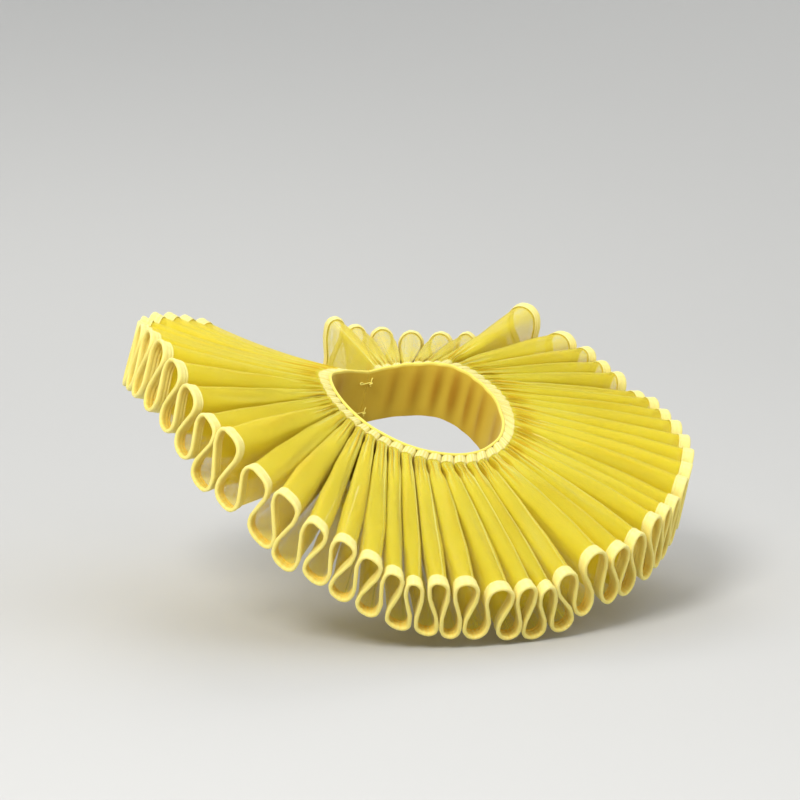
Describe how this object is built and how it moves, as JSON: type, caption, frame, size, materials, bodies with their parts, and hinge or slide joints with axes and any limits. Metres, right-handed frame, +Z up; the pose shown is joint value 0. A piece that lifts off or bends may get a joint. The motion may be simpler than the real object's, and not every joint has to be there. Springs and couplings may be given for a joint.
{
  "type": "ruff collar",
  "caption": "Wide standing ruff of sheer yellow net in deep figure-of-eight folds, taped along both edges and sewn to an upright neckband that meets at the back.",
  "frame": {"origin": "middle of the neck opening's top edge, where the wearer's neck holds the collar", "axes": "+Z up as worn, -Y the way the wearer faces, +X towards the wearer's left"},
  "size_m": [0.4307, 0.4037, 0.2057],
  "materials": {
    "net": "sheer stiff net",
    "tape": "matte woven tape",
    "band": "matte plain weave"
  },
  "bodies": {
    "root": {"ruff_width_1": "net", "ruff_width_2": "net", "ruff_width_3": "net", "ruff_width_4": "net", "ruff_width_5": "net", "ruff_width_6": "net", "edge_tape_1": "tape", "edge_tape_2": "tape", "edge_tape_3": "tape", "edge_tape_4": "tape", "edge_tape_5": "tape", "edge_tape_6": "tape", "neck_tape_1": "tape", "neck_tape_2": "tape", "neck_tape_3": "tape", "neck_tape_4": "tape", "neck_tape_5": "tape", "neck_tape_6": "tape", "neckband": "band"}
  },
  "joints": []
}
